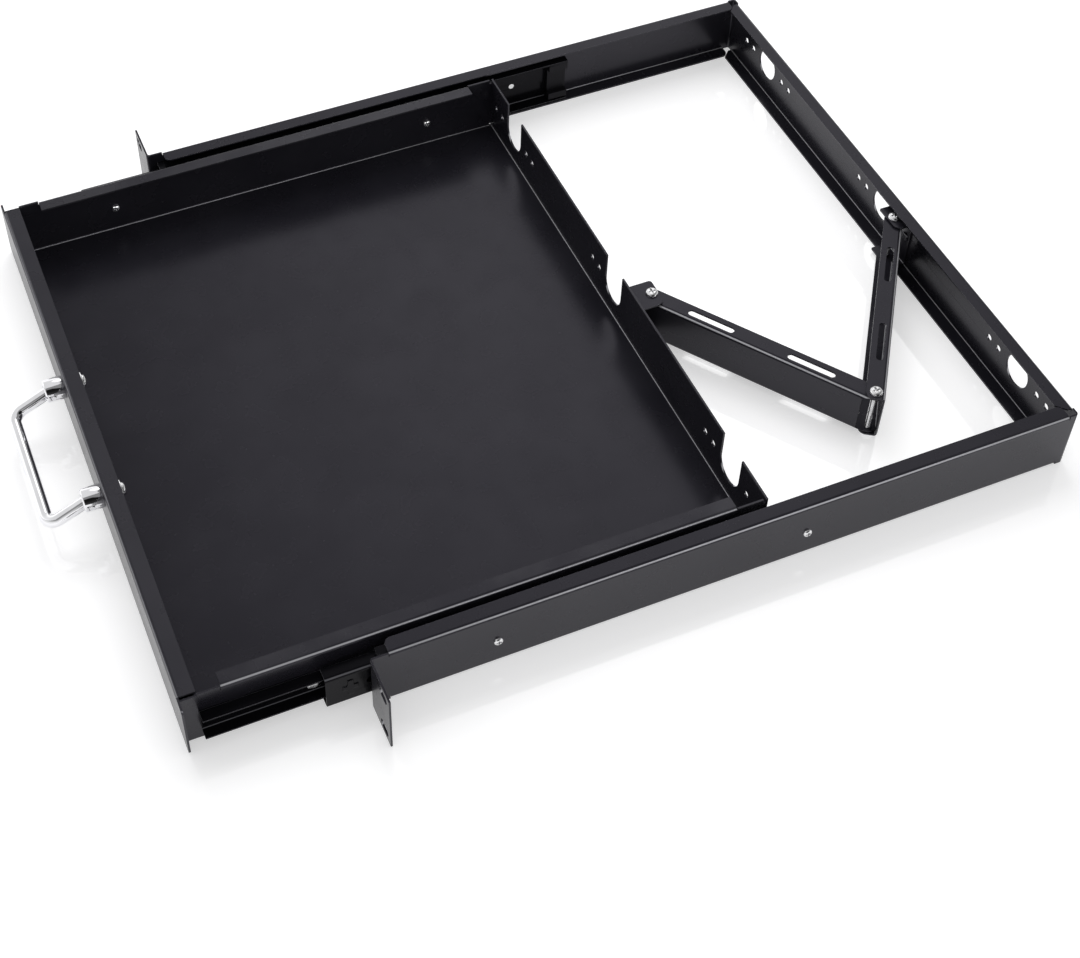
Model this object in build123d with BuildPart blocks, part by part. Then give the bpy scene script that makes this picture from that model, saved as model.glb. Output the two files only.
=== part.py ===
from build123d import *
import os
from math import cos, radians, sin, sqrt

# Sliding keyboard drawer for a 19 inch rack, one unit high. Millimetres.
# X runs across the rack, Y from the front to the rear and Z upwards.
# The origin is the middle of the four ear slots, on the back face of the ears.
# The drawer is drawn partly open, with the cable arm half unfolded behind it.

# Folded frame
rack_width = 482.6
frame_height = 43.6
body_width = 427.0
frame_depth = 444.0
sheet = 1.2
fold_radius = 1.7
flange_width = 10.0
flange_setback = 11.0
flange_corner = 4.0
rear_flange_width = 9.4
side_flange_gap = 6.2
rear_flange_gap = 6.0
rear_flange_corner = 5.5
fold_relief = 0.4
slot_spacing_x = 465.1
slot_spacing_z = 31.75
slot_length = 11.0
slot_width = 6.8

# Cable openings and the small holes beside them
opening_pitch = 158.0
opening_height = 24.0
cable_hole = 21.5
notch_width = 22.5
small_hole = 4.5
small_hole_offsets = (20.5, 30.5)

# Drawer
rest_opening = 101.2
drawer_depth = 347.2
drawer_floor_height = 1.0
drawer_top_height = 43.2
drawer_flange = 9.5
drawer_flange_front = 23.7
drawer_flange_rear = 19.5
panel_overhang = 7.2
panel_flange = 10.6
panel_flange_inset = 2.4
panel_corner = 3.0

# Ball bearing slides
slide_space = 13.7
slide_length = 300.0
slide_setback = 6.0
slide_height = 20.0
slide_sheet = 1.2
member_sheet = 1.0
outer_tall = 35.0
outer_deep = 9.4
middle_tall = 26.4
middle_deep = 8.4
middle_web_gap = 0.8
middle_length = 262.0
left_middle_setback = 3.2
right_middle_setback = 26.0
middle_cross_at = 14.0
middle_cross_tall = 13.0
middle_cross_wide = 9.0
middle_cross_line = 3.4
middle_cross_raised = 0.5
middle_hole_at = 27.0
middle_hole = 7.2
inner_tall = 17.6
inner_deep = 7.9
inner_length = 298.0
inner_setback = 10.0
ball_line = 7.5
ball_play = 0.05
balls_in_row = 8
ball_pitch = 14.0
cage_sheet = 0.6
cage_width = 4.0
cage_over = 12.0
outer_cage_start = 28.0
inner_cage_start = 117.0
stop_length = 14.0
stop_thick = 4.0
stop_deep = 7.6
stop_play = 0.3
stop_slot_play = 1.0
stop_corner = 1.5
outer_screws_at = (67.9, 259.9)
inner_screws_at = (62.6, 286.8)

# Screws
wall_head = 5.6
wall_head_high = 1.8
arm_head = 8.0
arm_head_high = 2.2
shank = 4.0
nut_flats = 7.0
nut_high = 2.2
thin_nut_high = 0.8
pivot_play = 0.1
rivet_head = 7.0
rivet_head_high = 1.4

# Folding handle
handle_pitch = 89.0
handle_height = 33.0
post_diameter = 14.4
post_length = 12.0
post_chamfer = 0.8
pin_reach = 7.6
pin_diameter = 3.0
pin_play = 0.05
pin_proud = 0.4
rod_diameter = 8.0
rod_side_play = 0.2
bail_reach = 28.6
bail_corner = 7.5
bail_droop = 26.0
washer_diameter = 12.0
washer_thick = 1.0

# Cable arm
arm_x = 25.0
arm_length = 152.0
arm_height = 31.0
arm_middle_height = 20.8
arm_flange = 12.0
arm_pivot_in = 6.0
arm_layer_play = 0.3
arm_end_radius = 6.0
elbow_end_radius = 4.4
end_taper = 5.0
web_setback = 6.0
elbow_square_reach = 4.9
elbow_web_corner = 1.5
elbow_open_corner = 4.8
arm_slot_length = 31.5
arm_slot_width = 4.5
arm_slots_at = (42.0, 110.0)
bracket_width = 21.0
bracket_corner = 5.0
front_bracket_left_corner = 2.0
rear_bracket_left_corner = 0.8
bracket_edge = 4.5
front_pivot_reach = 13.0
rear_pivot_reach = 8.8

# Places worked out from the sizes above
base = -frame_height / 2
half_body = body_width / 2
wall_middle = half_body - sheet / 2
ear_front = -sheet
frame_rear = ear_front + frame_depth
rear_wall_inside = frame_rear - sheet
flange_start = ear_front + flange_setback
flange_end = frame_rear - side_flange_gap
fold_room = fold_radius + sheet
opening_z = base + opening_height
openings_x = (-opening_pitch, 0.0, opening_pitch)
small_holes_x = [x + s * d for x in openings_x for s in (-1, 1) for d in small_hole_offsets]

panel_front = ear_front - rest_opening
drawer_rear = panel_front + drawer_depth
half_drawer = half_body - sheet - slide_space
drawer_floor = base + drawer_floor_height
drawer_top = base + drawer_top_height
tray_front_wall = panel_front + panel_flange - sheet

slide_z = base + slide_height
outer_front = ear_front + slide_setback
inner_front = ear_front + inner_setback - rest_opening
outer_screws_y = [outer_front + d for d in outer_screws_at]
inner_screws_y = [inner_front + d for d in inner_screws_at]

arm_z = base + arm_middle_height
front_pivot_y = drawer_rear + front_pivot_reach
rear_pivot_y = rear_wall_inside - rear_pivot_reach
half_span = (rear_pivot_y - front_pivot_y) / 2
elbow_reach = sqrt(arm_length**2 - half_span**2)
elbow_x = arm_x + elbow_reach
elbow_y = (rear_pivot_y + front_pivot_y) / 2
rear_arm_height = arm_height + 2 * (sheet + arm_layer_play)
front_bracket_height = arm_height + 2 * (sheet + arm_layer_play)
rear_bracket_height = rear_arm_height + 2 * (sheet + arm_layer_play)

handle_z = base + handle_height
pin_y = panel_front - pin_reach
sides = (("left", -1), ("right", 1))
middle_setbacks = {"left": left_middle_setback, "right": right_middle_setback}


def save(builder, label):
    """Name a finished piece and write it."""
    builder.part.label = label
    export_step(builder.part, f"parts/{label}.step")


def folded_section(plane, points, thickness, radius):
    """Section of a folded sheet whose middle line runs through the points."""
    with BuildSketch(plane) as section:
        with BuildLine():
            FilletPolyline(*points, radius=radius)
        trace(line_width=thickness)
    return section.sketch


def pan_head_screw(head_diameter, head_height, shank_diameter, shank_length):
    """Screw on the XY plane: the crossed head above it, the shank below."""
    with BuildPart() as screw:
        with BuildSketch():
            Circle(head_diameter / 2)
        extrude(amount=head_height)
        fillet(screw.edges().group_by(Axis.Z)[-1], radius=0.8 * head_height)
        with BuildSketch(Plane.XY.offset(head_height)):
            Rectangle(0.56 * head_diameter, 0.15 * head_diameter)
            Rectangle(0.15 * head_diameter, 0.56 * head_diameter)
        extrude(amount=-0.55 * head_height, mode=Mode.SUBTRACT)
        with BuildSketch():
            Circle(shank_diameter / 2)
        extrude(amount=-shank_length)
    return screw.part


def rivet(head_diameter, head_height, shank_diameter, shank_length):
    """Rivet on the XY plane: the low domed head above it, the shank below."""
    with BuildPart() as fastener:
        with BuildSketch():
            Circle(head_diameter / 2)
        extrude(amount=head_height)
        fillet(fastener.edges().group_by(Axis.Z)[-1], radius=0.7 * head_height)
        with BuildSketch():
            Circle(shank_diameter / 2)
        extrude(amount=-shank_length)
    return fastener.part


def hex_nut(across_flats, thickness, bore):
    """Nut that stands on the XY plane."""
    with BuildPart() as nut:
        with BuildSketch():
            RegularPolygon(across_flats / 2, 6, major_radius=False)
            Circle(bore / 2, mode=Mode.SUBTRACT)
        extrude(amount=thickness)
    return nut.part


def facing(x, y, z, direction):
    """Plane at a point whose normal is the given direction."""
    return Plane(origin=(x, y, z), z_dir=direction)


def across(side, inset):
    """X of a point that lies the given distance inside the frame's wall."""
    return side * (half_body - sheet - inset)


def front_arm_outline(plane):
    """Front arm from above: square beside the web at the drawer, narrow and round at the elbow."""
    with BuildSketch(plane) as outline:
        Circle(arm_end_radius)
        with Locations((0, -arm_pivot_in / 2)):
            Rectangle(2 * arm_end_radius, arm_pivot_in)
        with Locations((arm_length / 2, 0)):
            Rectangle(arm_length - 2 * end_taper, 2 * arm_pivot_in)
        with Locations((arm_length, 0)):
            Circle(elbow_end_radius)
        make_hull()
    return outline.sketch


def rear_arm_outline(plane):
    """Rear arm from above: round at the wall, nearly square beside the web at the elbow."""
    with BuildSketch(plane) as outline:
        with Locations(((arm_length + elbow_square_reach - arm_end_radius) / 2, 0)):
            Rectangle(arm_length + elbow_square_reach + arm_end_radius, 2 * arm_pivot_in)
        fillet(outline.vertices().group_by(Axis.X)[0], radius=0.98 * arm_end_radius)
        fillet(outline.vertices().group_by(Axis.X)[-1].sort_by(Axis.Y)[0], radius=elbow_open_corner)
        fillet(outline.vertices().group_by(Axis.X)[-1].sort_by(Axis.Y)[-1], radius=elbow_web_corner)
    return outline.sketch


os.makedirs("parts", exist_ok=True)

# Flanged channels of the frame's sides, with rounded flange corners
flange_length = flange_end - flange_start
flange_z = frame_height / 2 - sheet / 2
side_channels = []
for name, side in sides:
    flange_tip = side * (half_body - flange_width)
    with BuildPart() as side_channel:
        extrude(
            folded_section(
                Plane.XZ.offset(-flange_start),
                [
                    (flange_tip, flange_z),
                    (side * wall_middle, flange_z),
                    (side * wall_middle, -flange_z),
                    (flange_tip, -flange_z),
                ],
                sheet,
                fold_radius,
            ),
            amount=-flange_length,
        )
        upright = side_channel.edges().filter_by(Axis.Z)
        fillet(upright.filter_by(lambda e: abs(e.center().X - flange_tip) < 0.05), radius=flange_corner)
    side_channels.append(side_channel.part)

# Flanged channel of the rear wall, with its corners cut off beside the side flanges
rear_middle = frame_rear - sheet / 2
rear_tip = frame_rear - rear_flange_width
rear_flange_half = half_body - rear_flange_gap
with BuildPart() as rear_channel:
    extrude(
        folded_section(
            Plane.YZ.offset(-rear_flange_half),
            [(rear_tip, flange_z), (rear_middle, flange_z), (rear_middle, -flange_z), (rear_tip, -flange_z)],
            sheet,
            fold_radius,
        ),
        amount=2 * rear_flange_half,
    )
    upright = rear_channel.edges().filter_by(Axis.Z)
    chamfer(upright.filter_by(lambda e: abs(e.center().Y - rear_tip) < 0.05), length=rear_flange_corner)

# Frame: one sheet folded into ears, two sides and a rear wall
with BuildPart() as chassis_frame:
    ear_middle = ear_front + sheet / 2
    with BuildSketch(Plane.XY.offset(base)):
        with BuildLine():
            FilletPolyline(
                (-rack_width / 2, ear_middle),
                (-wall_middle, ear_middle),
                (-wall_middle, rear_middle),
                (wall_middle, rear_middle),
                (wall_middle, ear_middle),
                (rack_width / 2, ear_middle),
                radius=fold_radius,
            )
        trace(line_width=sheet)
    extrude(amount=frame_height)

    # Long edges make room for the folds of the flanges
    flange_middle = (flange_start + flange_end) / 2
    with Locations(*[(s * half_body, flange_middle, e * frame_height / 2) for s in (-1, 1) for e in (-1, 1)]):
        Box(2 * fold_room, flange_length + 2 * fold_relief, 2 * fold_room, mode=Mode.SUBTRACT)
    with Locations(*[(0, frame_rear, e * frame_height / 2) for e in (-1, 1)]):
        Box(2 * (rear_flange_half + fold_relief), 2 * fold_room, 2 * fold_room, mode=Mode.SUBTRACT)
    add(side_channels)
    add(rear_channel.part)

    # Ear slots
    with BuildSketch(Plane.XZ):
        with GridLocations(slot_spacing_x, slot_spacing_z, 2, 2):
            SlotOverall(slot_length, slot_width)
    extrude(amount=2 * sheet, mode=Mode.SUBTRACT)

    # Cable holes and the small holes in the rear wall
    with BuildSketch(Plane.XZ.offset(-frame_rear)):
        with Locations(*[(x, opening_z) for x in openings_x]):
            Circle(cable_hole / 2)
        with Locations(*[(x, opening_z) for x in small_holes_x]):
            Circle(small_hole / 2)
    extrude(amount=2 * sheet, mode=Mode.SUBTRACT)

    # Screw holes for the slides
    for name, side in sides:
        with BuildSketch(Plane.YZ.offset(side * half_body)):
            with Locations(*[(y, slide_z) for y in outer_screws_y]):
                Circle(shank / 2)
        extrude(amount=-side * 2 * sheet, mode=Mode.SUBTRACT)
save(chassis_frame, "chassis_frame")

# Slides: outer, middle and inner members with their balls, the same on both sides
for name, side in sides:
    outer_z = outer_tall / 2 - slide_sheet / 2
    outer_web = across(side, slide_sheet / 2)
    with BuildPart() as slide_outer:
        extrude(
            folded_section(
                Plane.XZ.offset(-outer_front),
                [
                    (across(side, outer_deep), slide_z + outer_z),
                    (outer_web, slide_z + outer_z),
                    (outer_web, slide_z - outer_z),
                    (across(side, outer_deep), slide_z - outer_z),
                ],
                slide_sheet,
                fold_radius,
            ),
            amount=-slide_length,
        )
        with BuildSketch(Plane.YZ.offset(across(side, 0))):
            with Locations(*[(y, slide_z) for y in outer_screws_y]):
                Circle(shank / 2)
        extrude(amount=-side * 2 * slide_sheet, mode=Mode.SUBTRACT)
    save(slide_outer, f"{name}_slide_outer")

    # Block that fills the rear end of the outer member, open where the inner member passes
    stop_y = outer_front + slide_length - stop_length / 2
    stop_tall = outer_tall - 2 * slide_sheet - 2 * stop_play
    passage = inner_tall + 2 * stop_slot_play
    with BuildPart() as slide_stop:
        with Locations((across(side, slide_sheet + stop_deep / 2), stop_y, slide_z)):
            Box(stop_deep, stop_length, stop_tall)
        fillet(slide_stop.edges().filter_by(Axis.Y), radius=stop_corner)
        with Locations((across(side, slide_sheet + stop_thick + stop_deep), stop_y, slide_z)):
            Box(2 * stop_deep, 2 * stop_length, passage, mode=Mode.SUBTRACT)
    save(slide_stop, f"{name}_slide_stop")

    middle_front = ear_front + middle_setbacks[name] - rest_opening / 2
    middle_z = middle_tall / 2 - member_sheet / 2
    middle_web = across(side, slide_sheet + middle_web_gap + member_sheet / 2)
    middle_tip = across(side, slide_sheet + middle_web_gap + middle_deep)
    with BuildPart() as slide_middle:
        extrude(
            folded_section(
                Plane.XZ.offset(-middle_front),
                [
                    (middle_tip, slide_z + middle_z),
                    (middle_web, slide_z + middle_z),
                    (middle_web, slide_z - middle_z),
                    (middle_tip, slide_z - middle_z),
                ],
                member_sheet,
                fold_radius,
            ),
            amount=-middle_length,
        )
        # Raised cross and round hole near the front end
        web_face = across(side, slide_sheet + middle_web_gap)
        with BuildSketch(Plane.YZ.offset(web_face)):
            with Locations((middle_front + middle_cross_at, slide_z)):
                Rectangle(middle_cross_wide, middle_cross_line)
                Rectangle(middle_cross_line, middle_cross_tall)
        extrude(amount=side * middle_cross_raised)
        with BuildSketch(Plane.YZ.offset(web_face)):
            with Locations((middle_front + middle_hole_at, slide_z)):
                Circle(middle_hole / 2)
        extrude(amount=-side * 2 * member_sheet, mode=Mode.SUBTRACT)
    save(slide_middle, f"{name}_slide_middle")

    inner_z = inner_tall / 2 - member_sheet / 2
    inner_face = side * half_drawer
    inner_web = side * (half_drawer + member_sheet / 2)
    inner_tip = side * (half_drawer + inner_deep)
    with BuildPart() as slide_inner:
        extrude(
            folded_section(
                Plane.XZ.offset(-inner_front),
                [
                    (inner_tip, slide_z + inner_z),
                    (inner_web, slide_z + inner_z),
                    (inner_web, slide_z - inner_z),
                    (inner_tip, slide_z - inner_z),
                ],
                member_sheet,
                fold_radius,
            ),
            amount=-inner_length,
        )
        with BuildSketch(Plane.YZ.offset(inner_face)):
            with Locations(*[(y, slide_z) for y in inner_screws_y]):
                Circle(shank / 2)
        extrude(amount=side * 2 * member_sheet, mode=Mode.SUBTRACT)
    save(slide_inner, f"{name}_slide_inner")

    # Ball cages: one strip of balls above and one below in each gap between members
    ball_x = across(side, ball_line)
    gaps = (
        ("outer", outer_tall / 2 - slide_sheet, middle_tall / 2, outer_front + outer_cage_start),
        ("inner", middle_tall / 2 - member_sheet, inner_tall / 2, inner_front + inner_cage_start),
    )
    for which, gap_far, gap_near, cage_front in gaps:
        ball_radius = (gap_far - gap_near) / 2 - ball_play
        row_z = (gap_far + gap_near) / 2
        cage_length = (balls_in_row - 1) * ball_pitch + 2 * cage_over
        row_y = cage_front + cage_length / 2
        rows = [(ball_x, row_y, slide_z - row_z), (ball_x, row_y, slide_z + row_z)]
        with BuildPart() as ball_cage:
            with Locations(*rows):
                Box(cage_width, cage_length, cage_sheet)
            with Locations(*rows):
                with Locations(*[(0, (n - (balls_in_row - 1) / 2) * ball_pitch, 0) for n in range(balls_in_row)]):
                    Sphere(ball_radius)
        save(ball_cage, f"{name}_{which}_ball_cage")

wall_screw = pan_head_screw(wall_head, wall_head_high, shank, sheet + slide_sheet)
with BuildPart() as frame_slide_screws:
    with Locations(*[facing(s * half_body, y, slide_z, (s, 0, 0)) for n, s in sides for y in outer_screws_y]):
        add(wall_screw)
save(frame_slide_screws, "frame_slide_screws")

# Drawer tray: floor, sides with flanges, rear wall with notches and an inner front wall
with BuildPart() as drawer_tray:
    side_middle = half_drawer - sheet / 2
    floor_middle = drawer_floor + sheet / 2
    tray_start = panel_front + sheet
    tray_rear_middle = drawer_rear - sheet / 2
    extrude(
        folded_section(
            Plane.XZ.offset(-tray_start),
            [
                (-side_middle, drawer_top),
                (-side_middle, floor_middle),
                (side_middle, floor_middle),
                (side_middle, drawer_top),
            ],
            sheet,
            fold_radius,
        ),
        amount=-(drawer_rear - fold_room - tray_start),
    )
    extrude(
        folded_section(
            Plane.YZ.offset(-half_drawer),
            [
                (drawer_rear - 2 * fold_room, floor_middle),
                (tray_rear_middle, floor_middle),
                (tray_rear_middle, drawer_top),
            ],
            sheet,
            fold_radius,
        ),
        amount=2 * half_drawer,
    )
    with Locations(*[(s * side_middle, drawer_rear - fold_room, (drawer_floor + drawer_top) / 2) for n, s in sides]):
        Box(sheet, 2 * (fold_room - sheet), drawer_top - drawer_floor - 2 * fold_room)

    # Side flanges stop short of the panel and of the rear wall
    tray_flange_start = panel_front + drawer_flange_front
    tray_flange_length = drawer_rear - drawer_flange_rear - tray_flange_start
    tray_flange_middle = tray_flange_start + tray_flange_length / 2
    with Locations(*[(s * half_drawer, tray_flange_middle, drawer_top) for n, s in sides]):
        Box(2 * fold_room, tray_flange_length + 2 * fold_relief, 2 * fold_room, mode=Mode.SUBTRACT)
    for name, side in sides:
        extrude(
            folded_section(
                Plane.XZ.offset(-tray_flange_start),
                [
                    (side * (half_drawer - drawer_flange), drawer_top - sheet / 2),
                    (side * side_middle, drawer_top - sheet / 2),
                    (side * side_middle, drawer_top - fold_room - sheet),
                ],
                sheet,
                fold_radius,
            ),
            amount=-tray_flange_length,
        )

    # Front wall, and the sides cut down under the flange of the panel
    front_wall_y = tray_front_wall + sheet / 2
    under_flange = drawer_top - sheet
    with Locations((0, front_wall_y, (floor_middle + under_flange) / 2)):
        Box(2 * side_middle, sheet, under_flange - floor_middle)
    with Locations((0, tray_start, drawer_top)):
        Box(2 * half_drawer + 1, 2 * (panel_flange - sheet), 2 * sheet, mode=Mode.SUBTRACT)

    # Notches, small holes and screw holes
    with BuildSketch(Plane.XZ.offset(-drawer_rear)):
        for x in openings_x:
            with Locations((x, opening_z)):
                Circle(notch_width / 2)
            with Locations((x, (opening_z + drawer_top + 1) / 2)):
                Rectangle(notch_width, drawer_top + 1 - opening_z)
        with Locations(*[(x, opening_z) for x in small_holes_x]):
            Circle(small_hole / 2)
    extrude(amount=2 * sheet, mode=Mode.SUBTRACT)
    with BuildSketch(Plane.XZ.offset(-(front_wall_y + sheet))):
        with Locations(*[(s * handle_pitch / 2, handle_z) for n, s in sides]):
            Circle(shank / 2)
    extrude(amount=2 * sheet, mode=Mode.SUBTRACT)
    for name, side in sides:
        with BuildSketch(Plane.YZ.offset(side * half_drawer)):
            with Locations(*[(y, slide_z) for y in inner_screws_y]):
                Circle(shank / 2)
        extrude(amount=-side * 2 * sheet, mode=Mode.SUBTRACT)
save(drawer_tray, "drawer_tray")

# Front panel: a plate wider than the drawer, with its top edge folded back over the tray
with BuildPart() as front_panel:
    panel_half = half_drawer + panel_overhang
    flange_half = half_drawer - panel_flange_inset
    plate_middle = panel_front + sheet / 2
    with BuildSketch(Plane.XZ.offset(-panel_front)):
        with Locations((0, (drawer_floor + drawer_top) / 2)):
            RectangleRounded(2 * panel_half, drawer_top - drawer_floor, panel_corner)
    extrude(amount=-sheet)
    with Locations((0, panel_front, drawer_top)):
        Box(2 * flange_half, 2 * fold_room, 2 * fold_room, mode=Mode.SUBTRACT)
    extrude(
        folded_section(
            Plane.YZ.offset(-flange_half),
            [
                (panel_front + panel_flange, drawer_top - sheet / 2),
                (plate_middle, drawer_top - sheet / 2),
                (plate_middle, drawer_top - fold_room - sheet),
            ],
            sheet,
            fold_radius,
        ),
        amount=2 * flange_half,
    )
    with BuildSketch(Plane.XZ.offset(-(panel_front + sheet))):
        with Locations(*[(s * handle_pitch / 2, handle_z) for n, s in sides]):
            Circle(shank / 2)
    extrude(amount=2 * sheet, mode=Mode.SUBTRACT)
save(front_panel, "front_panel")

# Screws that hold the inner slide members, with nuts inside the members
tray_screw = pan_head_screw(wall_head, wall_head_high, shank, sheet + member_sheet + nut_high)
inner_side_x = half_drawer - sheet
with BuildPart() as drawer_slide_screws:
    with Locations(*[facing(s * inner_side_x, y, slide_z, (-s, 0, 0)) for n, s in sides for y in inner_screws_y]):
        add(tray_screw)
save(drawer_slide_screws, "drawer_slide_screws")

tray_nut = hex_nut(nut_flats, nut_high, shank)
nut_x = half_drawer + member_sheet
with BuildPart() as drawer_slide_nuts:
    with Locations(*[facing(s * nut_x, y, slide_z, (s, 0, 0)) for n, s in sides for y in inner_screws_y]):
        add(tray_nut)
save(drawer_slide_nuts, "drawer_slide_nuts")

# Handle: two slotted posts, a bail that folds down between them, and its pins
for name, side in sides:
    post_x = side * handle_pitch / 2
    with BuildPart() as handle_post:
        with BuildSketch(Plane.XZ.offset(-panel_front)):
            with Locations((post_x, handle_z)):
                Circle(post_diameter / 2)
        extrude(amount=post_length)
        chamfer(handle_post.edges().group_by(Axis.Y)[0], length=post_chamfer)
        slot_back = pin_y + rod_diameter / 2 + rod_side_play
        slot_front = panel_front - post_length - 1
        slot_top = handle_z + rod_diameter / 2 + rod_side_play
        slot_bottom = handle_z - post_diameter
        with Locations((post_x, (slot_back + slot_front) / 2, (slot_top + slot_bottom) / 2)):
            Box(
                rod_diameter + 2 * rod_side_play,
                slot_back - slot_front,
                slot_top - slot_bottom,
                mode=Mode.SUBTRACT,
            )
        with Locations(facing(post_x, pin_y, handle_z, (1, 0, 0))):
            Cylinder(pin_diameter / 2, 2 * post_diameter, mode=Mode.SUBTRACT)
        with Locations(facing(post_x, panel_front, handle_z, (0, 1, 0))):
            Cylinder(shank / 2, 2 * post_length, mode=Mode.SUBTRACT)
    save(handle_post, f"{name}_handle_post")

with BuildPart() as handle_pins:
    with Locations(*[facing(s * handle_pitch / 2, pin_y, handle_z, (1, 0, 0)) for n, s in sides]):
        Cylinder(pin_diameter / 2, post_diameter + 2 * pin_proud)
save(handle_pins, "handle_pins")

droop = radians(bail_droop)
bail_plane = Plane(origin=(0, pin_y, handle_z), x_dir=(1, 0, 0), z_dir=(0, sin(droop), -cos(droop)))
with BuildPart() as handle_bail:
    with BuildLine(bail_plane) as bail_path:
        FilletPolyline(
            (-handle_pitch / 2, 0),
            (-handle_pitch / 2, bail_reach),
            (handle_pitch / 2, bail_reach),
            (handle_pitch / 2, 0),
            radius=bail_corner,
        )
    with BuildSketch(Plane(origin=bail_path.line @ 0, z_dir=bail_path.line % 0)):
        Circle(rod_diameter / 2)
    sweep()
    with Locations(*[(s * handle_pitch / 2, pin_y, handle_z) for n, s in sides]):
        Sphere(rod_diameter / 2)
    with Locations(*[facing(s * handle_pitch / 2, pin_y, handle_z, (1, 0, 0)) for n, s in sides]):
        Cylinder(pin_diameter / 2 + pin_play, 2 * rod_diameter, mode=Mode.SUBTRACT)
save(handle_bail, "handle_bail")

# Handle screws pass through washers, the tray's front wall and the panel into the posts
washer_face = tray_front_wall + sheet
with BuildPart() as handle_washers:
    with BuildSketch(Plane.XZ.offset(-washer_face)):
        with Locations(*[(s * handle_pitch / 2, handle_z) for n, s in sides]):
            Circle(washer_diameter / 2)
            Circle(shank / 2, mode=Mode.SUBTRACT)
    extrude(amount=-washer_thick)
save(handle_washers, "handle_washers")

head_face = washer_face + washer_thick
post_bottom = slot_back
handle_screw = pan_head_screw(arm_head, arm_head_high, shank, head_face - post_bottom)
with BuildPart() as handle_screws:
    with Locations(*[facing(s * handle_pitch / 2, head_face, handle_z, (0, 1, 0)) for n, s in sides]):
        add(handle_screw)
save(handle_screws, "handle_screws")

# Brackets of the cable arm: a plate on the wall with a tab above and below the arm
brackets = (
    ("front", drawer_rear, 1, front_pivot_y, front_bracket_height, front_bracket_left_corner),
    ("rear", rear_wall_inside, -1, rear_pivot_y, rear_bracket_height, rear_bracket_left_corner),
)
for name, wall_y, out, pivot_y, height, left_corner in brackets:
    plate_y = wall_y + out * sheet / 2
    tab_end = pivot_y + out * bracket_edge
    tab_z = height / 2 - sheet / 2
    with BuildPart() as arm_bracket:
        extrude(
            folded_section(
                Plane.YZ.offset(arm_x - bracket_width / 2),
                [
                    (tab_end, arm_z + tab_z),
                    (plate_y, arm_z + tab_z),
                    (plate_y, arm_z - tab_z),
                    (tab_end, arm_z - tab_z),
                ],
                sheet,
                fold_radius,
            ),
            amount=bracket_width,
        )
        corners = arm_bracket.edges().filter_by(Axis.Z)
        corners = corners.filter_by(lambda e: abs(e.center().Y - tab_end) < 0.01)
        fillet(corners.filter_by(lambda e: e.center().X > arm_x), radius=bracket_corner)
        corners = arm_bracket.edges().filter_by(Axis.Z)
        corners = corners.filter_by(lambda e: abs(e.center().Y - tab_end) < 0.01)
        fillet(corners.filter_by(lambda e: e.center().X < arm_x - bracket_width / 2 + 0.01), radius=left_corner)
        with Locations((arm_x, pivot_y, arm_z)):
            Cylinder(shank / 2, 2 * height, mode=Mode.SUBTRACT)
        with BuildSketch(Plane.XZ.offset(-(plate_y + sheet))):
            with Locations(*[(x, opening_z) for x in small_hole_offsets]):
                Circle(small_hole / 2)
        extrude(amount=2 * sheet, mode=Mode.SUBTRACT)
    save(arm_bracket, f"{name}_arm_bracket")

    bracket_rivet = rivet(rivet_head, rivet_head_high, small_hole, 2 * sheet)
    rivet_face = wall_y + out * sheet
    with BuildPart() as bracket_rivets:
        with Locations(*[facing(x, rivet_face, opening_z, (0, out, 0)) for x in small_hole_offsets]):
            add(bracket_rivet)
    save(bracket_rivets, f"{name}_bracket_rivets")

# Arms: channels with slotted flanges, open towards each other
front_direction = (elbow_reach / arm_length, half_span / arm_length, 0)
rear_direction = (elbow_reach / arm_length, -half_span / arm_length, 0)
front_web = (-arm_end_radius, arm_length - web_setback)
rear_web = (web_setback, arm_length + elbow_square_reach)
arms = (
    ("front", front_pivot_y, front_direction, -1, arm_height, front_arm_outline, front_web, pivot_play),
    ("rear", rear_pivot_y, rear_direction, 1, rear_arm_height, rear_arm_outline, rear_web, 0.0),
)
for name, pivot_y, along, web_side, height, outline, web, elbow_play in arms:
    arm_plane = Plane(origin=(arm_x, pivot_y, arm_z), x_dir=along, z_dir=(0, 0, 1))
    across_plane = Plane(arm_plane.origin, x_dir=arm_plane.y_dir, z_dir=arm_plane.x_dir)
    web_y = web_side * (arm_pivot_in - sheet / 2)
    tip_y = web_side * (arm_pivot_in - arm_flange)
    flange_mid = height / 2 - sheet / 2
    with BuildPart() as arm:
        extrude(
            folded_section(
                across_plane.offset(-2 * arm_end_radius),
                [(tip_y, flange_mid), (web_y, flange_mid), (web_y, -flange_mid), (tip_y, -flange_mid)],
                sheet,
                fold_radius,
            ),
            amount=arm_length + 4 * arm_end_radius,
        )
        extrude(outline(arm_plane.offset(-height)), amount=2 * height, mode=Mode.INTERSECT)
        # Each web stops short of the pivot that it has to turn about
        for start, end in ((-4 * arm_end_radius, web[0]), (web[1], arm_length + 4 * arm_end_radius)):
            with BuildSketch(arm_plane.offset(-height / 2 + sheet)):
                with Locations(((start + end) / 2, 0)):
                    Rectangle(end - start, 4 * arm_flange)
            extrude(amount=height - 2 * sheet, mode=Mode.SUBTRACT)
        # Pivot holes and slots in both flanges
        with BuildSketch(arm_plane.offset(-height)):
            Circle(shank / 2 + pivot_play)
            with Locations((arm_length, 0)):
                Circle(shank / 2 + elbow_play)
            with Locations(*[(d, 0) for d in arm_slots_at]):
                SlotOverall(arm_slot_length, arm_slot_width)
        extrude(amount=2 * height, mode=Mode.SUBTRACT)
    save(arm, f"{name}_arm")

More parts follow.
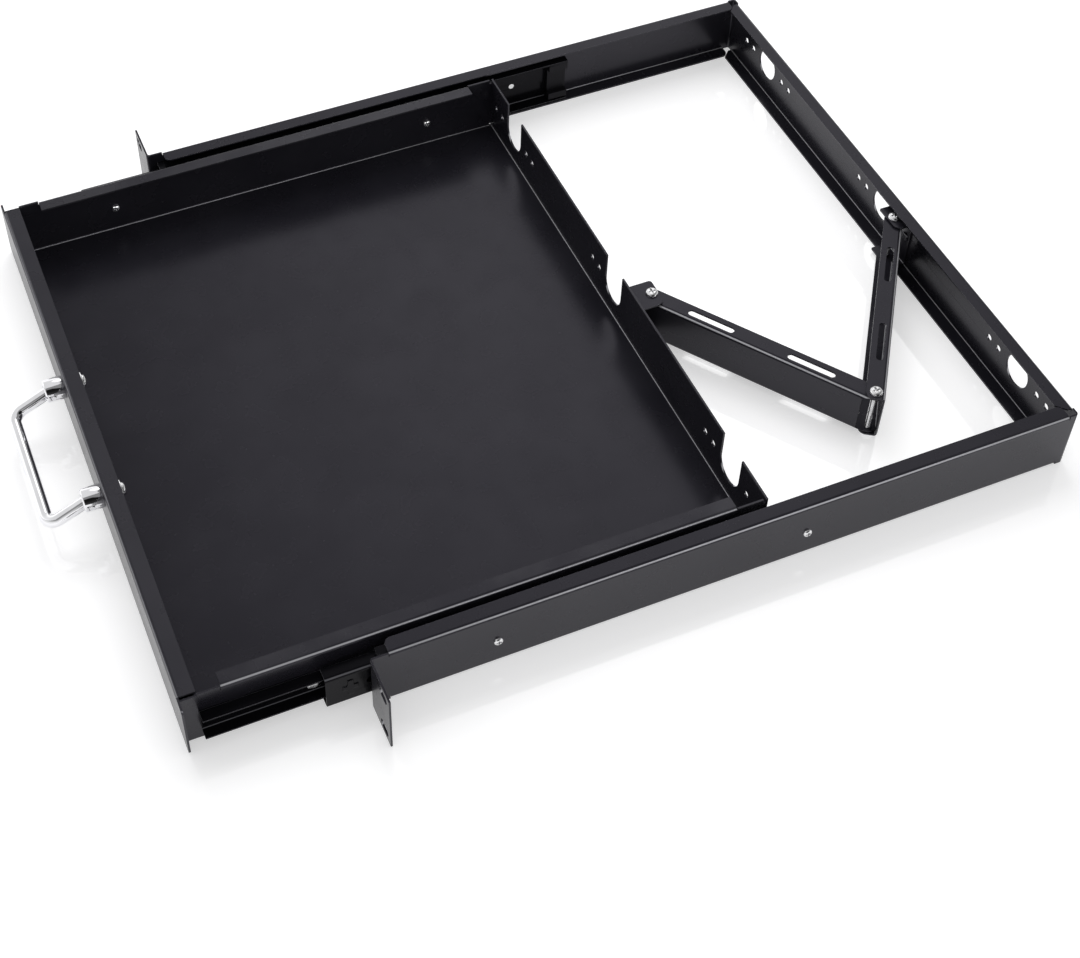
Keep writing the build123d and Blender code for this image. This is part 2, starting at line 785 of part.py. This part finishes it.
# Pivot screws: the elbow and the rear bracket are hinged on long screws with nuts
pivots = (
    ("elbow", elbow_x, elbow_y, rear_arm_height, nut_high),
    ("rear_pivot", arm_x, rear_pivot_y, rear_bracket_height, thin_nut_high),
)
for name, x, y, height, nut_thickness in pivots:
    with BuildPart() as pivot_screw:
        with Locations((x, y, arm_z + height / 2)):
            add(pan_head_screw(arm_head, arm_head_high, shank, height + nut_thickness))
    save(pivot_screw, f"{name}_screw")
    with BuildPart() as pivot_nut:
        with Locations((x, y, arm_z - height / 2 - nut_thickness)):
            add(hex_nut(nut_flats, nut_thickness, shank))
    save(pivot_nut, f"{name}_nut")

# Short screws fill the two tabs of the front bracket
tab_screw = pan_head_screw(arm_head, arm_head_high, shank, sheet)
front_tab_z = front_bracket_height / 2
with BuildPart() as front_pivot_screws:
    with Locations(
        facing(arm_x, front_pivot_y, arm_z + front_tab_z, (0, 0, 1)),
        facing(arm_x, front_pivot_y, arm_z - front_tab_z, (0, 0, -1)),
    ):
        add(tab_screw)
save(front_pivot_screws, "front_pivot_screws")
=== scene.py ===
# %% [markdown]
# # A sliding keyboard drawer for a server rack
# The real thing is folded from thin black sheet steel. A shallow tray slides out of an open frame
# on ball bearing slides, a small chrome bar pulls it, and a folding arm behind it leads the cables.
# The shapes come from a CAD model, so this lesson is mostly about finish: how powder coat, plated
# steel and chrome are told apart, and how folded edges catch the light. What CAD leaves plain,
# such as screw threads, is built here.

# %% Load the model
from math import cos, pi, radians, sin

import bpy
from mathutils import Matrix, Vector


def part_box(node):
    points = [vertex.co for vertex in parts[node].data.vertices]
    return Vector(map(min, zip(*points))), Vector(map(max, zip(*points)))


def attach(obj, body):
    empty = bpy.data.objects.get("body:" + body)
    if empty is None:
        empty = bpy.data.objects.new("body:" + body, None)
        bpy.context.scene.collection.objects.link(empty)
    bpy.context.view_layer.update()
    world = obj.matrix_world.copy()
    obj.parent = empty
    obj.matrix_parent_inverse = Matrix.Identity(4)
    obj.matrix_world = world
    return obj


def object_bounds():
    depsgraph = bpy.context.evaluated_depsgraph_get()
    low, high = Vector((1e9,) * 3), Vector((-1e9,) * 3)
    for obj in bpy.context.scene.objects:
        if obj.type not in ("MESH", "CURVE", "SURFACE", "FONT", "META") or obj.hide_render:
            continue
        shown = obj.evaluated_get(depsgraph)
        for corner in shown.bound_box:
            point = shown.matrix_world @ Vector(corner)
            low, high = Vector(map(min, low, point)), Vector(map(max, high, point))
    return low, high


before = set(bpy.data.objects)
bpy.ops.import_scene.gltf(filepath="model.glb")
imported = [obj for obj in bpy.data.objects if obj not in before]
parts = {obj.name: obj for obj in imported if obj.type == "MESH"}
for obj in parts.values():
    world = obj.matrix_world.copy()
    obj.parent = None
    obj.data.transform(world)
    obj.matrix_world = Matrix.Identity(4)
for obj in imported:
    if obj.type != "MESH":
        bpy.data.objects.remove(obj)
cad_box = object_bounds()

# %% [markdown]
# ## The camera
# A picture can only be compared with a photograph when both are taken from the same place. The
# place could be found by eye, but a few degrees already shift every edge. Here it was worked out
# from the known width and depth of a rack frame, and is written as a position, three turns and a
# focal length. The photograph was cropped off centre, which is what the two shifts repeat.

# %% Stand the camera where the photograph was taken
camera_place = Vector((0.7441, -0.1681, 0.8837))
camera_turn = radians(68.32)
camera_tilt = radians(-46.52)
camera_roll = radians(-0.53)
focal_length = 63.7
sensor_width = 36.0
crop_right = 0.0888
crop_down = -0.1672
nearest_seen = 0.02

ahead = Vector((
    -sin(camera_turn) * cos(camera_tilt),
    cos(camera_turn) * cos(camera_tilt),
    sin(camera_tilt),
))
level_right = Vector((cos(camera_turn), sin(camera_turn), 0))
level_up = level_right.cross(ahead)
to_right = cos(camera_roll) * level_right + sin(camera_roll) * level_up
upwards = cos(camera_roll) * level_up - sin(camera_roll) * level_right

camera_data = bpy.data.cameras.new("camera")
camera_data.lens = focal_length
camera_data.sensor_width = sensor_width
camera_data.shift_x = crop_right
camera_data.shift_y = crop_down
camera_data.clip_start = nearest_seen
camera = bpy.data.objects.new("camera", camera_data)
bpy.context.scene.collection.objects.link(camera)
axes = Matrix((to_right, upwards, -ahead)).transposed()
camera.matrix_world = Matrix.Translation(camera_place) @ axes.to_4x4()
bpy.context.scene.camera = camera
print("camera distance to the origin:", round(camera_place.length, 3), "m")

# %% [markdown]
# ## Sums between nodes
# Looks that change over a surface, or with a direction, are sums of a few numbers. In Blender each
# sum is a node and each number is a link to it. They could be drawn by hand in the node editor,
# but a script repeats itself exactly. Three small helpers keep each sum readable where it is used.

# %% Helpers for sums between nodes
def spread(tree, value, given, wanted):
    """Turns one range of numbers into another, smoothly and without leaving it."""
    node = tree.nodes.new("ShaderNodeMapRange")
    node.interpolation_type = "SMOOTHSTEP"
    node.inputs["From Min"].default_value, node.inputs["From Max"].default_value = given
    node.inputs["To Min"].default_value, node.inputs["To Max"].default_value = wanted
    tree.links.new(value, node.inputs["Value"])
    return node.outputs["Result"]


def combined(tree, operation, first, second):
    """The result of one sum on two numbers or two outputs."""
    node = tree.nodes.new("ShaderNodeMath")
    node.operation = operation
    for socket, value in zip(node.inputs, (first, second)):
        if isinstance(value, float):
            socket.default_value = value
        else:
            tree.links.new(value, socket)
    return node.outputs[0]


def chosen(tree, switch, when_off, when_on):
    """One of two numbers: the second where the switch is one."""
    node = tree.nodes.new("ShaderNodeMix")
    tree.links.new(switch, node.inputs["Factor"])
    for socket, value in zip(("A", "B"), (when_off, when_on)):
        if isinstance(value, float):
            node.inputs[socket].default_value = value
        else:
            tree.links.new(value, node.inputs[socket])
    return node.outputs["Result"]


print("helpers:", spread.__name__, combined.__name__, chosen.__name__)

# %% [markdown]
# ## A white room with a dim ceiling
# Product pictures of black things are hard, because black shows almost nothing but reflections.
# An evenly white room turns a black tray grey. A studio is white around the object but dim overhead
# and behind the camera, so flat tops stay dark, sides look lighter and chrome gets its dark bands.
# One brighter patch high on the left gives the tray's floor its slow change from dark to light.
# The world does this for mirror rays alone, by direction. What the camera sees directly is white,
# and the light on dull surfaces stays soft and even.

# %% What mirror rays see in each direction
seen_white = 1.0
ceiling_seen = 0.26
ceiling_edge = (0.12, 0.62)
dark_corner_way = Vector((0.88, 0.0, 0.47))
dark_corner_seen = 0.03
dark_corner_edge = (0.86, 0.90)
bright_patch_way = Vector((-0.61, 0.33, 0.72))
bright_patch_adds = 1.1
bright_patch_edge = (0.962, 0.997)

room = bpy.data.worlds.new("white_room")
room.use_nodes = True
bpy.context.scene.world = room
room_tree = room.node_tree
way = room_tree.nodes.new("ShaderNodeTexCoord").outputs["Generated"]
upward = room_tree.nodes.new("ShaderNodeSeparateXYZ")
room_tree.links.new(way, upward.inputs[0])


def nearness(direction):
    """How nearly a mirror ray goes one way: one straight at it, zero square to it."""
    node = room_tree.nodes.new("ShaderNodeVectorMath")
    node.operation = "DOT_PRODUCT"
    node.inputs[1].default_value = direction.normalized()
    room_tree.links.new(way, node.inputs[0])
    return node.outputs["Value"]


ceiling = spread(room_tree, upward.outputs["Z"], ceiling_edge, (seen_white, ceiling_seen))
corner = spread(room_tree, nearness(dark_corner_way), dark_corner_edge, (1.0, dark_corner_seen))
patch = spread(room_tree, nearness(bright_patch_way), bright_patch_edge, (0.0, bright_patch_adds))
mirrored = combined(room_tree, "MULTIPLY", combined(room_tree, "ADD", ceiling, patch), corner)
print("ceiling, corner and patch:", len(room_tree.nodes), "nodes")

# %% Give each kind of ray its own room
light_on_dull = 0.60

rays = room_tree.nodes.new("ShaderNodeLightPath").outputs
seen = combined(room_tree, "MAXIMUM", rays["Is Camera Ray"], rays["Is Transmission Ray"])
dull_or_mirror = chosen(room_tree, rays["Is Glossy Ray"], light_on_dull, mirrored)
strength = chosen(room_tree, seen, dull_or_mirror, seen_white)
background = room_tree.nodes["Background"]
background.inputs["Color"].default_value = (1, 1, 1, 1)
room_tree.links.new(strength, background.inputs["Strength"])
print("room:", len(room_tree.nodes), "nodes")

# %% [markdown]
# ## A polished white floor
# The floor in such pictures is white acrylic: it keeps a soft shadow and a faint mirror image. A
# dull white floor under lamps that are right for the object comes out light grey. More lamp light
# would wash out the steel, so the floor adds a little glow of its own, which only the camera and
# mirrors see.

# %% The finish of the floor
floor_colour = (0.84, 0.84, 0.85, 1.0)
floor_glow = 0.46
floor_mirror = 0.14
floor_gloss = 0.05

floor_finish = bpy.data.materials.new("white_acrylic")
floor_finish.use_nodes = True
floor_tree = floor_finish.node_tree
floor_tree.nodes.remove(floor_tree.nodes["Principled BSDF"])
matt = floor_tree.nodes.new("ShaderNodeBsdfDiffuse")
matt.inputs["Color"].default_value = floor_colour
polish = floor_tree.nodes.new("ShaderNodeBsdfGlossy")
polish.inputs["Roughness"].default_value = floor_gloss
polished = floor_tree.nodes.new("ShaderNodeMixShader")
polished.inputs["Fac"].default_value = floor_mirror
floor_tree.links.new(matt.outputs[0], polished.inputs[1])
floor_tree.links.new(polish.outputs[0], polished.inputs[2])

rays = floor_tree.nodes.new("ShaderNodeLightPath").outputs
seen = combined(floor_tree, "MAXIMUM", rays["Is Camera Ray"], rays["Is Glossy Ray"])
seen = combined(floor_tree, "MAXIMUM", seen, rays["Is Transmission Ray"])
glow = floor_tree.nodes.new("ShaderNodeEmission")
glow_strength = combined(floor_tree, "MULTIPLY", seen, floor_glow)
floor_tree.links.new(glow_strength, glow.inputs["Strength"])
both = floor_tree.nodes.new("ShaderNodeAddShader")
floor_tree.links.new(polished.outputs[0], both.inputs[0])
floor_tree.links.new(glow.outputs[0], both.inputs[1])
floor_tree.links.new(both.outputs[0], floor_tree.nodes["Material Output"].inputs["Surface"])
print("floor finish:", len(floor_tree.nodes), "nodes")

# %% Lay the floor under the frame
floor_half_size = 9.0
floor_height = cad_box[0][2]

floor_mesh = bpy.data.meshes.new("floor")
floor_corners = [
    (x * floor_half_size, y * floor_half_size, floor_height)
    for x, y in ((-1, -1), (1, -1), (1, 1), (-1, 1))
]
floor_mesh.from_pydata(floor_corners, [], [(0, 1, 2, 3)])
floor_mesh.materials.append(floor_finish)
floor = bpy.data.objects.new("floor", floor_mesh)
bpy.context.scene.collection.objects.link(floor)
print("floor at", round(floor_height * 1000, 1), "mm")

# %% [markdown]
# ## Soft boxes
# One wide box high on the left is the main light, and its shadows fall softly to the right. It
# would also lie on the black sheet as a pale blot, so mirror rays don't see it. Black sheet shows
# which way it faces by what it mirrors: long boxes beside the object put a soft sheen on the walls
# and a line along the folds, which small round lamps can't do. They light mirror rays only, so
# that the dull light stays plain.

# %% A helper for soft boxes
def soft_box(name, place, target, length, width, radiance, along):
    """A lamp that faces a point, with its long side along a direction and a given brightness."""
    lamp_data = bpy.data.lights.new(name, "AREA")
    lamp_data.shape = "RECTANGLE"
    lamp_data.size = length
    lamp_data.size_y = width
    lamp_data.energy = pi * length * width * radiance
    lamp = bpy.data.objects.new(name, lamp_data)
    back = (Vector(place) - Vector(target)).normalized()
    side = (Vector(along) - back * back.dot(Vector(along))).normalized()
    turn = Matrix((side, back.cross(side), back)).transposed()
    lamp.matrix_world = Matrix.Translation(place) @ turn.to_4x4()
    bpy.context.scene.collection.objects.link(lamp)
    print(name, round(lamp_data.energy, 1), "W")
    return lamp


print("helper:", soft_box.__name__)

# %% One main box and three edge boxes
studio_middle = (0, 0.1, 0)

main_box = soft_box(
    "main_box", place=(-1.05, 0.25, 1.60), target=studio_middle,
    length=1.3, width=1.3, radiance=3.2, along=(0, 1, 0),
)
main_box.visible_glossy = False
edge_boxes = [
    soft_box(
        "right_edge_box", place=(1.99, 0.95, 1.07), target=studio_middle,
        length=2.4, width=0.90, radiance=4.5, along=(0, 1, 0),
    ),
    soft_box(
        "front_edge_box", place=(0.40, -1.45, 1.40), target=studio_middle,
        length=1.8, width=0.60, radiance=4.0, along=(1, 0, 0),
    ),
    soft_box(
        "left_edge_box", place=(-1.45, -1.15, 0.95), target=studio_middle,
        length=1.2, width=0.50, radiance=3.0, along=(1, -1, 0),
    ),
]
for lamp in edge_boxes:
    lamp.visible_diffuse = False
bpy.context.scene.view_settings.view_transform = "Standard"

# %% [markdown]
# ## Powder coat
# The sheet steel is sprayed with dry paint and baked. The skin is satin, not flat black: close up
# it has a faint grain like orange peel, and the gloss drifts a little where the coat is thicker.
# One even colour would look like plastic, so a fine noise bends the surface and two slow ones move
# the colour and the roughness.

# %% Helpers for a coat that drifts and has a grain
drift_detail = 4.0
usual_noise = (0.3, 0.7)
grain_detail = 2.0


def drifting_value(tree, place, scale, wanted):
    """A number that wanders slowly between two values over the surface."""
    noise = tree.nodes.new("ShaderNodeTexNoise")
    noise.inputs["Scale"].default_value = scale
    noise.inputs["Detail"].default_value = drift_detail
    tree.links.new(place, noise.inputs["Vector"])
    return spread(tree, noise.outputs["Fac"], usual_noise, wanted)


def grain_bump(tree, place, shader, grain, strength):
    """Fine unevenness of a surface, from its scale and its depth in metres."""
    scale, depth = grain
    noise = tree.nodes.new("ShaderNodeTexNoise")
    noise.inputs["Scale"].default_value = scale
    noise.inputs["Detail"].default_value = grain_detail
    tree.links.new(place, noise.inputs["Vector"])
    bump = tree.nodes.new("ShaderNodeBump")
    bump.inputs["Strength"].default_value = strength
    bump.inputs["Distance"].default_value = depth
    tree.links.new(noise.outputs["Fac"], bump.inputs["Height"])
    tree.links.new(bump.outputs["Normal"], shader.inputs["Normal"])


print("helpers:", drifting_value.__name__, grain_bump.__name__)

# %% [markdown]
# ## Paler folds, a painted highlight
# Each fold of black sheet is given one fine pale line in its colour: a painted highlight, standing
# in for the lamp that a satin fold would mirror. A brighter lamp could draw the line too, but it
# would blind the flat sheet from some other side. A fold is the one place whose surface faces half
# up and half sideways, so its normal alone finds it: with z as the upright part, z squared times
# one less z squared is largest there and zero on flat sheet.

# %% A mask for the painted fold highlight
steep_enough = (0.70, 1.0)
facing_up = (0.0, 0.2)
off_to_on = (0.0, 1.0)
largest_product = 0.25


def fold_highlight_mask(tree):
    """One in the middle of a fold that faces up and sideways, zero on flat sheet."""
    facing = tree.nodes.new("ShaderNodeSeparateXYZ")
    tree.links.new(tree.nodes.new("ShaderNodeTexCoord").outputs["Normal"], facing.inputs[0])
    upright = facing.outputs["Z"]
    squared = combined(tree, "MULTIPLY", upright, upright)
    beside = combined(tree, "SUBTRACT", 1.0, squared)
    product = combined(tree, "MULTIPLY", squared, beside)
    slanted = combined(tree, "MULTIPLY", product, 1.0 / largest_product)
    middle = spread(tree, slanted, steep_enough, off_to_on)
    return combined(tree, "MULTIPLY", middle, spread(tree, upright, facing_up, off_to_on))


print("fold mask: rises from", steep_enough[0], "to", steep_enough[1], "of the largest product")

# %% [markdown]
# ## One recipe for every dull coat
# Powder coat, the slides' thin black finish and moulded plastic differ in numbers, not in kind. A
# material for each would repeat the same nodes, so one recipe takes their colours, gloss and
# grain. The tray may also get a paler rim, which is painted light: its high flanges are made
# lighter than its floor, where shade falls deeper in the tray.

# %% The recipe
colour_drift_scale = 22.0
gloss_drift_scale = 60.0
coat_grain_strength = 0.35
mirror_tint = (0.90, 0.87, 1.0, 1.0)
half_ramp = 0.5


# The rim is painted light: the tray's upper edge made paler than its lower floor, where more shade
# falls.
def rimmed(tree, place, tint, tone, rim):
    """Squeezes the drift into half the colour ramp and gives the other half to the rim."""
    rim_height, rim_colour = rim
    tint.color_ramp.elements[1].position = half_ramp
    tint.color_ramp.elements.new(1.0).color = (*rim_colour, 1)
    height = tree.nodes.new("ShaderNodeSeparateXYZ")
    tree.links.new(place, height.inputs[0])
    paler = spread(tree, height.outputs["Z"], rim_height, (0.0, half_ramp))
    return combined(tree, "ADD", combined(tree, "MULTIPLY", tone, half_ramp), paler)


def coat(name, dark, light, gloss, grain, specular=0.34, rim=None, fold=None):
    """A painted or moulded surface that drifts. It may have a paler rim and paler folds, both
    painted light.
    """
    finish = bpy.data.materials.new(name)
    finish.use_nodes = True
    tree = finish.node_tree
    shader = tree.nodes["Principled BSDF"]
    place = tree.nodes.new("ShaderNodeTexCoord").outputs["Object"]
    tint = tree.nodes.new("ShaderNodeValToRGB")
    tint.color_ramp.elements[0].color = (*dark, 1)
    tint.color_ramp.elements[1].color = (*light, 1)
    tone = drifting_value(tree, place, colour_drift_scale, (0.0, 1.0))
    if rim:
        tone = rimmed(tree, place, tint, tone, rim)
    tree.links.new(tone, tint.inputs["Fac"])
    colour = tint.outputs["Color"]
    # Folds get a paler colour here: a painted highlight.
    if fold:
        fold_highlight = tree.nodes.new("ShaderNodeMix")
        fold_highlight.data_type = "RGBA"
        fold_highlight.inputs["B"].default_value = (*fold, 1)
        tree.links.new(fold_highlight_mask(tree), fold_highlight.inputs["Factor"])
        tree.links.new(colour, fold_highlight.inputs["A"])
        colour = fold_highlight.outputs["Result"]
    tree.links.new(colour, shader.inputs["Base Color"])
    roughness = drifting_value(tree, place, gloss_drift_scale, gloss)
    tree.links.new(roughness, shader.inputs["Roughness"])
    shader.inputs["Specular IOR Level"].default_value = specular
    shader.inputs["Specular Tint"].default_value = mirror_tint
    grain_bump(tree, place, shader, grain, coat_grain_strength)
    return finish


print("recipes:", rimmed.__name__, coat.__name__)

# %% The five dull finishes
paint_grain = (1500.0, 0.000012)
slide_grain = (2600.0, 0.00001)
moulding_grain = (1800.0, 0.00002)
# Painted highlight: the pale colour put on folds, here and in the fold colours given below.
painted_fold_highlight = (0.42, 0.42, 0.44)
# Painted light: the tray's paler top edge, set by height.
tray_rim_painted_light = ((0.0196, 0.0206), (0.0330, 0.0325, 0.0370))

powder_coat = coat(
    "powder_coat", dark=(0.0125, 0.0120, 0.0160), light=(0.0165, 0.0160, 0.0205),
    gloss=(0.255, 0.280), grain=paint_grain, fold=painted_fold_highlight,
)
tray_coat = coat(
    "tray_coat", dark=(0.0115, 0.0110, 0.0150), light=(0.0155, 0.0150, 0.0195),
    gloss=(0.255, 0.280), grain=paint_grain, rim=tray_rim_painted_light, fold=painted_fold_highlight,
)
panel_coat = coat(
    "panel_coat", dark=(0.0240, 0.0235, 0.0280), light=(0.0290, 0.0285, 0.0335),
    gloss=(0.270, 0.295), grain=paint_grain, fold=(0.16, 0.16, 0.17),
)
slide_coat = coat(
    "slide_coat", dark=(0.0030, 0.0030, 0.0038), light=(0.0050, 0.0050, 0.0062),
    gloss=(0.190, 0.215), grain=slide_grain, specular=0.10, fold=(0.12, 0.12, 0.13),
)
moulded_black = coat(
    "moulded_black", dark=(0.0040, 0.0040, 0.0048), light=(0.0070, 0.0070, 0.0080),
    gloss=(0.400, 0.430), grain=moulding_grain, specular=0.12,
)
dull_finishes = [powder_coat, tray_coat, panel_coat, slide_coat, moulded_black]
print("dull finishes:", [finish.name for finish in dull_finishes])

# %% [markdown]
# ## Plated metal
# The pull is polished chrome, the screws are bright zinc and the balls are bare steel. All three
# are mirrors, so they are made of reflection alone. Chrome is nearly perfect, with a trace of
# smears from handling. Zinc is a little milky, with the fine marks of the tool that turned it.

# %% A recipe for bare and plated metal
smear_tone = 0.93
metal_grain_strength = 0.2


def plate(name, colour, gloss, smear_scale, grain):
    """A metal mirror with smears in its gloss and fine marks in its surface."""
    finish = bpy.data.materials.new(name)
    finish.use_nodes = True
    tree = finish.node_tree
    shader = tree.nodes["Principled BSDF"]
    shader.inputs["Metallic"].default_value = 1.0
    place = tree.nodes.new("ShaderNodeTexCoord").outputs["Object"]
    tint = tree.nodes.new("ShaderNodeValToRGB")
    tint.color_ramp.elements[0].color = (*[smear_tone * c for c in colour], 1)
    tint.color_ramp.elements[1].color = (*colour, 1)
    tree.links.new(drifting_value(tree, place, smear_scale, (0.0, 1.0)), tint.inputs["Fac"])
    tree.links.new(tint.outputs["Color"], shader.inputs["Base Color"])
    tree.links.new(drifting_value(tree, place, smear_scale, gloss), shader.inputs["Roughness"])
    grain_bump(tree, place, shader, grain, metal_grain_strength)
    return finish


chrome = plate(
    "chrome", (0.86, 0.86, 0.88), gloss=(0.03, 0.06), smear_scale=90.0, grain=(700.0, 0.000003)
)
bright_zinc = plate(
    "bright_zinc", (0.83, 0.83, 0.84), gloss=(0.12, 0.20), smear_scale=420.0,
    grain=(5200.0, 0.000002),
)
ball_steel = plate(
    "ball_steel", (0.66, 0.66, 0.68), gloss=(0.16, 0.26), smear_scale=300.0,
    grain=(3800.0, 0.00001),
)
print("metals:", chrome.name, bright_zinc.name, ball_steel.name)

# %% [markdown]
# ## Which piece is made of what
# A drawer like this is put together from folded sheet, slides, screws and a pull, and each group
# has its own finish. The finish could be picked piece by piece in the viewport, but the names of
# the CAD pieces already say which group they belong to, so lists of names are enough.

# %% Sort the pieces by finish
folded_sheet = ["chassis_frame", "front_arm_bracket", "rear_arm_bracket", "front_arm", "rear_arm"]
coated = folded_sheet + ["front_bracket_rivets", "rear_bracket_rivets"]
member_kinds = ("_slide_outer", "_slide_middle", "_slide_inner")
slide_members = [name for name in parts if name.endswith(member_kinds)]
stops = [name for name in parts if name.endswith("_slide_stop")]
cages = [name for name in parts if name.endswith("_ball_cage")]
plated = ["left_handle_post", "right_handle_post", "handle_bail", "handle_pins"]
fasteners = [
    "frame_slide_screws", "drawer_slide_screws", "drawer_slide_nuts", "handle_washers",
    "handle_screws", "front_pivot_screws", "elbow_screw", "elbow_nut", "rear_pivot_screw",
    "rear_pivot_nut",
]
black_pieces = coated + ["drawer_tray", "front_panel"] + slide_members + stops
sorted_pieces = black_pieces + cages + plated + fasteners
print("sorted:", len(sorted_pieces), "of", len(parts))

# %% [markdown]
# ## Soft edges
# Sheet metal has no sharp edge: the punch and the paint leave every edge slightly round, and that
# thin line is what makes an edge visible on black. CAD edges are perfectly sharp. Rounding them in
# CAD would cost many faces, so a bevel a few tenths of a millimetre wide is added here, after the
# split edges of the import are joined again.

# %% Give each CAD piece its finish and its soft edges
same_point = 1e-6
bevel_steps = 2
sharp_from = radians(40)


def dress(names, finish, edge):
    """Puts a finish on CAD pieces and rounds their edges by a width in metres."""
    for name in names:
        piece = parts[name]
        for place in piece.material_slots:
            place.link = "OBJECT"
            place.material = finish
        weld = piece.modifiers.new("join_split_edges", "WELD")
        weld.merge_threshold = same_point
        bevel = piece.modifiers.new("soft_edges", "BEVEL")
        bevel.width = edge
        bevel.segments = bevel_steps
        bevel.limit_method = "ANGLE"
        bevel.angle_limit = sharp_from
        bevel.harden_normals = True
    print(finish.name, "on", len(names), "pieces, edges", round(edge * 1000, 2), "mm")


dress(coated, powder_coat, edge=0.0004)
dress(["drawer_tray"], tray_coat, edge=0.0004)
dress(["front_panel"], panel_coat, edge=0.0004)
dress(slide_members, slide_coat, edge=0.0003)
dress(stops, moulded_black, edge=0.0004)
dress(cages, ball_steel, edge=0.0001)
dress(plated, chrome, edge=0.00015)
dress(fasteners, bright_zinc, edge=0.00012)

# %% [markdown]
# ## A card for the chrome
# A chrome handle shows only its surroundings, so under a dim ceiling it comes out grey, and the
# edge boxes put blots on it. In a studio a white card is held above the chrome and shields it from
# the lamps. Here each lamp is told which pieces it lights: the card the bare metal, the edge boxes
# the black pieces. The screws inside the tray face away from the card, so they get both.

# %% The white card and what each lamp lights
def lights_only(lamps, name, pieces):
    """Lamps that light just these pieces."""
    group = bpy.data.collections.new(name)
    for piece in pieces:
        group.objects.link(parts[piece])
    for lamp in lamps:
        lamp.light_linking.receiver_collection = group


card = soft_box(
    "white_card", place=(-0.72, -0.55, 1.05), target=(-0.11, -0.14, 0),
    length=2.6, width=2.8, radiance=0.55, along=(0, 1, 0),
)
card.visible_diffuse = False
lights_only([card], "bare_metal", plated + fasteners + cages)
lights_only(edge_boxes, "black_pieces", black_pieces + ["drawer_slide_screws"])

# %% [markdown]
# ## Threads on the long pivot screws
# The cable arm turns on two long screws, and their threads are seen between the flanges. A thread
# in CAD costs thousands of faces and no hole needs it. So the CAD shank stays plain, and a thin
# sleeve with a helical ridge goes round its free length. The ridge is a triangle wave in height
# and angle.

# %% A sleeve with a helical ridge
thread_pitch = 0.0007
thread_root = 0.00198
thread_crest = 0.00222
steps_around = 24
rings_per_turn = 8


def threaded_sleeve(name, x, y, low, high):
    """A tube round an upright axis whose radius rises and falls along a helix."""
    rings = int((high - low) / thread_pitch * rings_per_turn)
    points, faces = [], []
    for ring in range(rings + 1):
        z = low + (high - low) * ring / rings
        for step in range(steps_around):
            turn = 2 * pi * step / steps_around
            wave = ((z - low) / thread_pitch - step / steps_around) % 1.0
            ridge = 1 - abs(2 * wave - 1)
            radius = thread_root + (thread_crest - thread_root) * ridge
            points.append((x + radius * cos(turn), y + radius * sin(turn), z))
    for ring in range(rings):
        here, there = ring * steps_around, (ring + 1) * steps_around
        for step in range(steps_around):
            beside = (step + 1) % steps_around
            faces.append((here + step, here + beside, there + beside, there + step))
    mesh = bpy.data.meshes.new(name)
    mesh.from_pydata(points, [], faces)
    mesh.materials.append(bright_zinc)
    sleeve = bpy.data.objects.new(name, mesh)
    bpy.context.scene.collection.objects.link(sleeve)
    print(name, len(faces), "faces")
    return sleeve


print("thread:", thread_pitch * 1000, "mm pitch")

# %% Slip the sleeves over the elbow screw and the rear pivot screw
nut_and_flange = 0.0050
head_and_flange = 0.0048

for screw, body in (("elbow_screw", "rear_link"), ("rear_pivot_screw", "frame")):
    low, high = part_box(screw)
    middle = [(a + b) / 2 for a, b in zip(low, high)]
    sleeve_starts, sleeve_ends = low[2] + nut_and_flange, high[2] - head_and_flange
    sleeve = threaded_sleeve(screw + "_thread", middle[0], middle[1], sleeve_starts, sleeve_ends)
    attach(sleeve, body)
